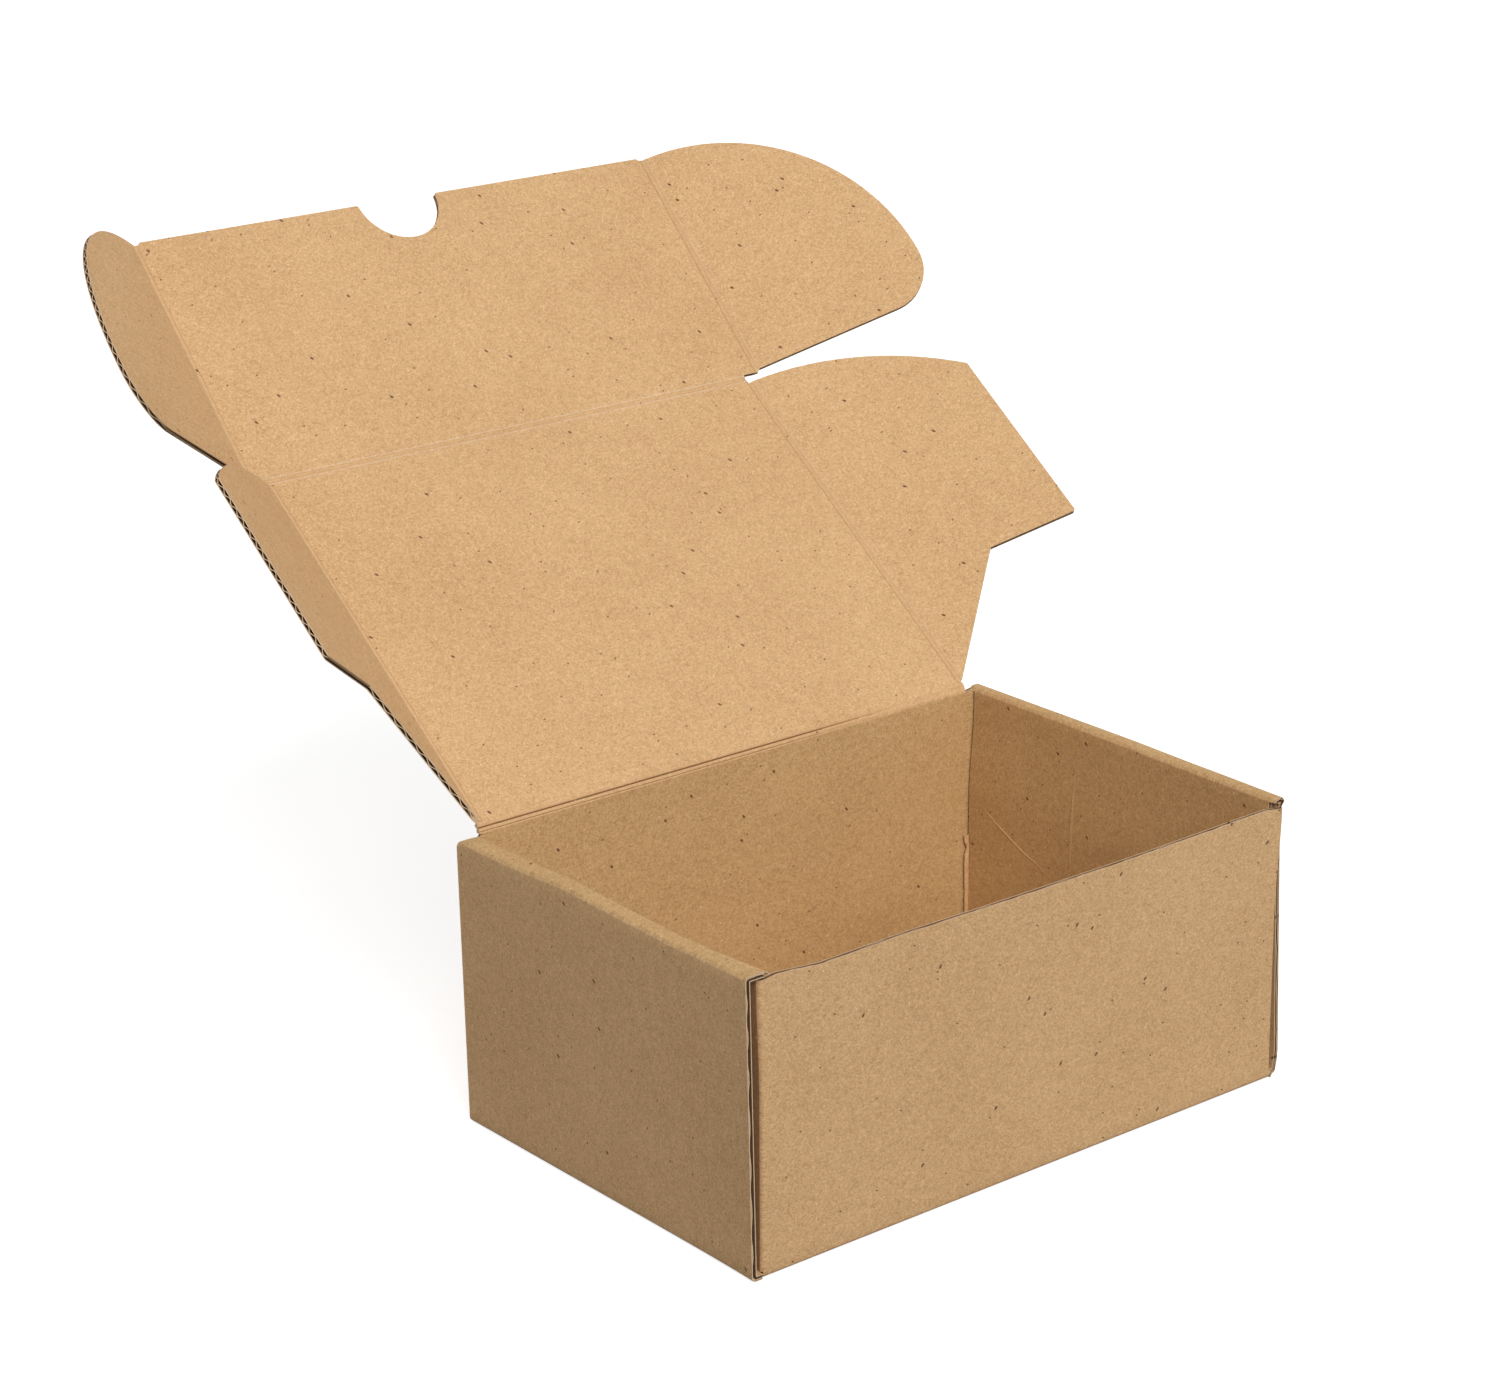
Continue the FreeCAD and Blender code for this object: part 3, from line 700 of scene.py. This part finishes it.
def crushed_edge(sheet):
    """The right inner wall's rear edge, crushed forward near its foot."""
    z = np.linspace(CRUSH_LOW, CRUSH_HIGH, CRUSH_ROWS)
    shares = np.linspace(0, 1, CRUSH_COLUMNS)
    wave = 0.35 * (ragged(z * 0.6, 2) - 0.5) * smooth(z, CRUSH_LOW, CRUSH_LOW + 5)
    notch = 0.9 * np.exp(-(((z - CRUSH_NOTCH) / 1.2) ** 2))
    face = INNER_MIDDLE - BOARD / 2 - 0.1
    x = face - (CRUSH_WIDTH - notch[:, None]) * shares[None] + wave[:, None]
    y = np.full_like(x, HALF_DEPTH - BOARD - 0.9) - 0.5 * np.sin(shares * pi)[None]
    points = np.stack([x, y, np.repeat(z[:, None], CRUSH_COLUMNS, axis=1)], axis=2).reshape(-1, 3)
    normals = np.tile([0.0, -1.0, 0.0], (len(points), 1))
    cells = grid(CRUSH_ROWS, CRUSH_COLUMNS)
    sheet.add(points, normals, points[:, ::2], cells, -0.3, 0.0, (FACE, FACE, FACE))


def make_tray(materials):
    sheet = Sheet("tray_board")
    outline = [
        (-BASE_HALF_WIDTH, -BASE_HALF_DEPTH), (BASE_HALF_WIDTH, -BASE_HALF_DEPTH),
        (BASE_HALF_WIDTH, BASE_HALF_DEPTH), (-BASE_HALF_WIDTH, BASE_HALF_DEPTH),
    ]
    loops = [outline]
    reach = BOARD / 2 + SLOT_CLEARANCE
    half = TAB_LENGTH / 2 + SLOT_CLEARANCE
    for side in (-1, 1):
        for middle in (-TAB_OFFSET, TAB_OFFSET):
            low, high = side * INNER_MIDDLE - reach, side * INNER_MIDDLE + reach
            near, far = middle - half, middle + half
            loops.append([(low, near), (high, near), (high, far), (low, far)])
    points, cells = filled(loops)
    where = place((0, 0, BOARD / 2), (1, 0, 0), (0, 1, 0), np.array([0.0, 0.0, 1.0]))
    # Painted shade: the base's upper face takes the darker copy of the board used inside the tray
    sheet.liners(*laid(where, points), points, cells, high=SHADED_INSIDE)
    for side in (-1, 1):
        side_board(sheet, side)
    pleat(sheet, 1, WRINKLE, 0.42, 0.2)
    pleat(sheet, 1, FAINT_LINE, 0.7, 0.12)
    crushed_edge(sheet)
    end_board(sheet, -1, front_top, np.array([]))
    neck_ends = np.array([-HINGE_LEFT - 0.01, -HINGE_LEFT, NECK_RIGHT, NECK_RIGHT + 0.01])
    end_board(sheet, 1, rear_top, neck_ends)
    tray = sheet.make(materials, settle)
    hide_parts("tray")
    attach(tray, "tray")


def add_node(tree, kind, settings=None, sockets=None):
    made = tree.nodes.new(kind)
    for key, value in (settings or {}).items():
        setattr(made, key, value)
    for key, value in (sockets or {}).items():
        if isinstance(value, bpy.types.NodeSocket):
            tree.links.new(value, made.inputs[key])
        else:
            made.inputs[key].default_value = value
    return made


def maths(tree, operation, a, b=0.0, c=0.0):
    return add_node(tree, "ShaderNodeMath", {"operation": operation}, {0: a, 1: b, 2: c}).outputs[0]


def noise(tree, vector, scale, detail, roughness, distortion=0.0):
    sockets = {"Vector": vector, "Scale": scale, "Detail": detail, "Roughness": roughness}
    sockets["Distortion"] = distortion
    return add_node(tree, "ShaderNodeTexNoise", None, sockets).outputs["Fac"]


def stretched(tree, vector, angle, length, width):
    """Coordinates drawn out along a direction in the sheet."""
    return add_node(
        tree, "ShaderNodeMapping", {"vector_type": "TEXTURE"},
        {"Vector": vector, "Rotation": (0, 0, radians(angle)), "Scale": (length, width, width)},
    ).outputs[0]


def fibres(tree, vector, angle, length, width, thin):
    """Thin curved lines where a drawn-out noise passes through its middle."""
    value = noise(tree, stretched(tree, vector, angle, length, width), 1.0, 1.0, 0.5, 0.4)
    off = maths(tree, "ABSOLUTE", maths(tree, "SUBTRACT", value, 0.5))
    return add_node(
        tree, "ShaderNodeMapRange", {"interpolation_type": "SMOOTHSTEP"},
        {"Value": off, "From Min": 0.0, "From Max": thin, "To Min": 1.0, "To Max": 0.0},
    ).outputs[0]


def flecks(tree, vector, angle, cell, length, size, share):
    """Small spots, one in some of the cells of a scattered pattern."""
    pattern = add_node(
        tree, "ShaderNodeTexVoronoi", {"voronoi_dimensions": "2D"},
        {"Vector": stretched(tree, vector, angle, length, 1.0), "Scale": 1 / cell},
    )
    spot = add_node(
        tree, "ShaderNodeMapRange", {"interpolation_type": "SMOOTHSTEP"},
        {"Value": pattern.outputs["Distance"], "From Min": size * 0.6, "From Max": size,
         "To Min": 1.0, "To Max": 0.0},
    ).outputs[0]
    chosen = maths(tree, "LESS_THAN", add_node(
        tree, "ShaderNodeSeparateColor", None, {0: pattern.outputs["Color"]}
    ).outputs[0], share)
    return maths(tree, "MULTIPLY", spot, chosen)


def mixed(tree, factor, a, b):
    made = add_node(tree, "ShaderNodeMix", {"data_type": "RGBA"}, {0: factor, 6: a, 7: b})
    return made.outputs[2]


def linear(red, green, blue):
    """A colour written as on a screen, 0 to 255, as the linear values that a shader takes."""
    values = [v / 255 for v in (red, green, blue)]
    return tuple(v / 12.92 if v <= 0.04045 else ((v + 0.055) / 1.055) ** 2.4 for v in values) + (1.0,)


def kraft(name, light, dark):
    """Brown fibre board: cloudy tone, short fibres lying every way, and a few dark flecks."""
    material = bpy.data.materials.new(name)
    material.use_nodes = True
    tree = material.node_tree
    tree.nodes.clear()
    blank = add_node(tree, "ShaderNodeAttribute", {"attribute_name": "blank"}).outputs["Vector"]
    tone = 0.5
    layers = []
    for scale, detail, roughness, weight in NOISE_LAYERS:
        layers.append(noise(tree, blank, scale, detail, roughness))
        tone = maths(tree, "MULTIPLY_ADD", maths(tree, "SUBTRACT", layers[-1], 0.5), weight, tone)
    pale = maths(tree, "MAXIMUM", fibres(tree, blank, 15, 2.2, 0.5, 0.05),
                 fibres(tree, blank, -62, 1.8, 0.45, 0.05))
    deep = maths(tree, "MAXIMUM", fibres(tree, blank, 48, 2.0, 0.5, 0.04),
                 fibres(tree, blank, -20, 1.9, 0.5, 0.04))
    tone = maths(tree, "MULTIPLY_ADD", pale, PALE_FIBRES, tone)
    tone = maths(tree, "MULTIPLY_ADD", deep, DEEP_FIBRES, tone)
    tone = add_node(tree, "ShaderNodeClamp", None, {0: tone}).outputs[0]
    colour = mixed(tree, tone, linear(*dark), linear(*light))
    spots = maths(tree, "MAXIMUM", flecks(tree, blank, 20, 6.0, 1.7, 0.042, 0.3),
                  flecks(tree, blank, -50, 13.0, 1.8, 0.032, 0.4))
    spots = maths(tree, "MULTIPLY", spots, FLECK_STRENGTH)
    colour = mixed(tree, spots, colour, linear(*FLECK_TONE))
    bright = maths(tree, "MULTIPLY", flecks(tree, blank, 70, 5.5, 1.5, 0.045, 0.5), PALE_FLECK_STRENGTH)
    colour = mixed(tree, bright, colour, linear(*PALE_FLECK_TONE))
    _, _, grain, fine = layers
    height = maths(tree, "MULTIPLY_ADD", grain, 0.8, maths(tree, "MULTIPLY", pale, 0.25))
    height = maths(tree, "MULTIPLY_ADD", fine, 0.4, height)
    normal = add_node(
        tree, "ShaderNodeBump", None, {"Strength": 0.6, "Distance": BUMP_HEIGHT, "Height": height}
    ).outputs[0]
    surface = add_node(
        tree, "ShaderNodeBsdfPrincipled", None,
        {"Base Color": colour, "Roughness": 0.82, "Specular IOR Level": 0.2, "Normal": normal},
    )
    output = add_node(tree, "ShaderNodeOutputMaterial")
    tree.links.new(surface.outputs[0], output.inputs[0])
    return material


def make_lid_and_flap(materials):
    """The lid, the tuck flap and their four ears, with the folds between them."""
    joints = {joint["name"]: joint for joint in frame["joints"]}

    def fold(name):
        joint = joints[name]
        return np.array(joint["pos_m"]) / MM, np.array(joint["axis"])

    x = np.array([1.0, 0.0, 0.0])
    hinge = fold("lid_hinge")[0]
    front = fold("tuck_hinge")[0]
    lid_up = fold("lid_ear_left_hinge")[1]
    tuck_up = fold("tuck_ear_left_hinge")[1]
    lid_place = place(hinge, x, lid_up, np.cross(x, lid_up))
    tuck_place = place(front, x, tuck_up, np.cross(x, tuck_up))

    def lid_bow(points):
        """The lid waves a little between its folds."""
        share = np.sin(pi * np.clip((points[:, 1] - STRIP) / (LID_LENGTH - 2 * STRIP), 0, 1))
        across = points[:, 0]
        return LID_BOW * share * (1 - (across / (LID_HALF - STRIP)) ** 2) * np.sin(across / 23 + 1)

    far = LID_LENGTH - STRIP
    lid = flat_board(
        "lid_board", lid_place, lid_outline(), [(STRIP + 0.05, far - 0.05, (-LID_HALF, LID_HALF))],
        lambda p: p + (0, LID_BLANK), lid_bow,
    ).make(materials)
    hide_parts("lid_panel")
    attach(lid, "lid")

    top = TUCK_HEIGHT - 0.8
    windows = ((-TUCK_HALF, NOTCH_OFFSET), (NOTCH_OFFSET, TUCK_HALF))
    tuck = flat_board(
        "tuck_board", tuck_place, tuck_outline(), [(STRIP + 0.05, top, window) for window in windows],
        lambda p: p + (0, TUCK_BLANK),
    ).make(materials)
    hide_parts("tuck_panel")
    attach(tuck, "tuck_flap")

    lid_ear_ribbons = [
        (STRIP + 1.5, LID_EAR_FRONT - 0.8, (0, LID_EAR_STEP)),
        (LID_EAR_REAR + 0.15, LID_EAR_FRONT - 6, (LID_EAR_STEP, LID_EAR_WIDTH + 1)),
    ]
    tuck_ear_ribbons = [(TUCK_EAR_FOOT + 0.25, TUCK_EAR_UP + TUCK_EAR_RADIUS - 0.6, (0, 80))]
    kinds = (
        ("lid_ear", "lid", lid_place, LID_HALF, LID_BLANK,
         LID_EAR_ANGLE, LID_EAR_SKEW, lid_ear_outline(), lid_ear_ribbons),
        ("tuck_ear", "tuck_flap", tuck_place, TUCK_HALF, TUCK_BLANK,
         TUCK_EAR_ANGLE, TUCK_EAR_SKEW, tuck_ear_outline(), tuck_ear_ribbons),
    )

    def ear_press(across, length):
        return pressed(across), pressed(across, BACK_PRESS, 0.0)

    for kind, parent, where, half, start_blank, angles, skews, outline, ribbons in kinds:
        for hand, side in (("left", -1), ("right", 1)):
            angle = radians(angles[hand])
            out = side * cos(angle) * x + sin(angle) * where["normal"]
            normal = cos(angle) * where["normal"] - side * sin(angle) * x
            origin = where["origin"] + side * half * x
            ear_place = place(origin, out, where["up"], normal, skews[hand])
            body = f"{hand}_{kind}"

            def blank(points, side=side, half=half, start_blank=start_blank):
                return np.column_stack([side * (half + points[:, 0]), start_blank + points[:, 1]])

            ear = flat_board(f"{kind}_{hand}_board", ear_place, outline, ribbons, blank).make(materials)
            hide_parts(f"{kind}_{hand}")
            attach(ear, body)
            if kind == "lid_ear":
                low = LID_EAR_START + 0.5
                foot = outline[0][1]
                high = LID_EAR_FRONT - 0.1
            else:
                low = STRIP
                foot = TUCK_EAR_FOOT
                high = TUCK_HEIGHT - TUCK_CORNER / 2

            def ends(across, low=low, foot=foot, high=high):
                return low + (foot - low) * smooth(across, 0, STRIP), np.full(len(across), high)

            def band_blank(across, length, side=side, half=half, start_blank=start_blank):
                return np.column_stack([side * (half + across), start_blank + length])

            crease(
                f"{kind}_{hand}_fold", origin, where["up"], -side * x, out, where["normal"],
                ends, band_blank, ear_press, materials,
            )

    def tuck_ends(across):
        return np.full(len(across), -LID_HALF - 1.0), np.full(len(across), LID_HALF - 0.6)

    crease(
        "tuck_fold", front, x, -lid_up, tuck_up, lid_place["normal"], tuck_ends,
        lambda across, length: np.column_stack([length, TUCK_BLANK + across]),
        lambda across, length: (pressed(across, PRESS_DEPTH, 0.0), pressed(across, BACK_PRESS, 0.0)),
        materials, flap_ridge_highlights,
    )

    def sharpness(length):
        """1 along the hinge's left part, 0 towards its right end."""
        return 1 - smooth(length, 15, 65)

    def hinge_press(across, length):
        """A sharp line on the left that opens into a soft round band on the right."""
        line = 0.45 * np.exp(-((across / 0.16) ** 2))
        line += 0.14 * np.exp(-(((across + LINE_PLACE) / LINE_WIDTH) ** 2))
        return pressed(across, 0.15, 0.0) + sharpness(length) * line, pressed(across, 0.3, 0.0)

    # Painted shade: a dark line along the left part of the hinge's fold and a narrower one beside it,
    # where the fold's groove lies in shade; both end towards the right
    def hinge_painted_shade(across, length):
        sharp = sharpness(length + 9 * ragged(length * 0.7))
        dark = np.abs(across) < 0.15 * sharp
        dark |= np.abs(across + LINE_PLACE) < 0.12 * (sharp - 0.5)
        return np.where(dark, PAINTED_SHADE, FACE)

    def hinge_ends(across):
        return np.full(len(across), -HINGE_LEFT), np.full(len(across), HINGE_RIGHT)

    down, forward = np.array([0.0, 0.0, -1.0]), np.array([0.0, -1.0, 0.0])
    crease(
        "lid_fold", hinge, x, down, lid_up, forward, hinge_ends,
        lambda across, length: np.column_stack([length, LID_BLANK + across]), hinge_press,
        materials, hinge_painted_shade,
    )


def seen_directly(tree):
    """1 for rays of the camera, of a mirror image or through glass, else 0."""
    rays = add_node(tree, "ShaderNodeLightPath")
    seen = maths(tree, "MAXIMUM", rays.outputs["Is Camera Ray"], rays.outputs["Is Glossy Ray"])
    return maths(tree, "MAXIMUM", seen, rays.outputs["Is Transmission Ray"])


def make_stage():
    """A pale floor that is white to the camera and keeps the box's shadow."""
    half = FLOOR_HALF
    corners = [(-half, -half, 0), (half, -half, 0), (half, half, 0), (-half, half, 0)]
    mesh = bpy.data.meshes.new("floor")
    mesh.from_pydata(corners, [], [(0, 1, 2, 3)])
    floor = bpy.data.objects.new("floor", mesh)
    bpy.context.scene.collection.objects.link(floor)
    material = bpy.data.materials.new("pale_floor")
    material.use_nodes = True
    tree = material.node_tree
    tree.nodes.clear()
    seen = seen_directly(tree)
    colour = mixed(tree, seen, linear(*FLOOR_BOUNCE), linear(*FLOOR_COLOUR))
    lit = add_node(tree, "ShaderNodeBsdfDiffuse", None, {0: colour})
    strength = maths(tree, "MULTIPLY", seen, FLOOR_GLOW)
    glow = add_node(tree, "ShaderNodeEmission", None, {0: (1, 1, 1, 1), 1: strength})
    both = add_node(tree, "ShaderNodeAddShader")
    tree.links.new(lit.outputs[0], both.inputs[0])
    tree.links.new(glow.outputs[0], both.inputs[1])
    output = add_node(tree, "ShaderNodeOutputMaterial")
    tree.links.new(both.outputs[0], output.inputs[0])
    mesh.materials.append(material)


def make_light():
    world = bpy.data.worlds.new("studio")
    world.use_nodes = True
    bpy.context.scene.world = world
    tree = world.node_tree
    tree.nodes.clear()
    seen = seen_directly(tree)
    strength = maths(tree, "MULTIPLY_ADD", seen, 1 - WORLD_LIGHT, WORLD_LIGHT)
    back = add_node(tree, "ShaderNodeBackground", None, {0: (1, 1, 1, 1), 1: strength})
    output = add_node(tree, "ShaderNodeOutputWorld")
    tree.links.new(back.outputs[0], output.inputs[0])
    for name, energy, spread, source in LAMPS:
        light = bpy.data.lights.new(name, "SUN")
        light.energy = energy
        light.angle = radians(spread)
        lamp = bpy.data.objects.new(name, light)
        lamp.rotation_mode = "QUATERNION"
        lamp.rotation_quaternion = (-Vector(source)).to_track_quat("-Z", "Y")
        bpy.context.scene.collection.objects.link(lamp)


def make_camera():
    data = bpy.data.cameras.new("camera")
    data.sensor_fit = "HORIZONTAL"
    data.sensor_width = SENSOR
    data.lens = LENS
    camera = bpy.data.objects.new("camera", data)
    at = Vector(CAMERA_AT) * MM
    towards = Vector(CAMERA_AIM) * MM - at
    camera.location = at
    camera.rotation_mode = "QUATERNION"
    roll = Quaternion((0, 0, 1), radians(CAMERA_ROLL))
    camera.rotation_quaternion = towards.to_track_quat("-Z", "Y") @ roll
    bpy.context.scene.collection.objects.link(camera)
    bpy.context.scene.camera = camera


bpy.context.scene.view_settings.view_transform = "Standard"
board_materials = [kraft(*tones) for tones in KRAFT_TONES]
make_tray(board_materials)
make_lid_and_flap(board_materials)
make_stage()
make_light()
make_camera()
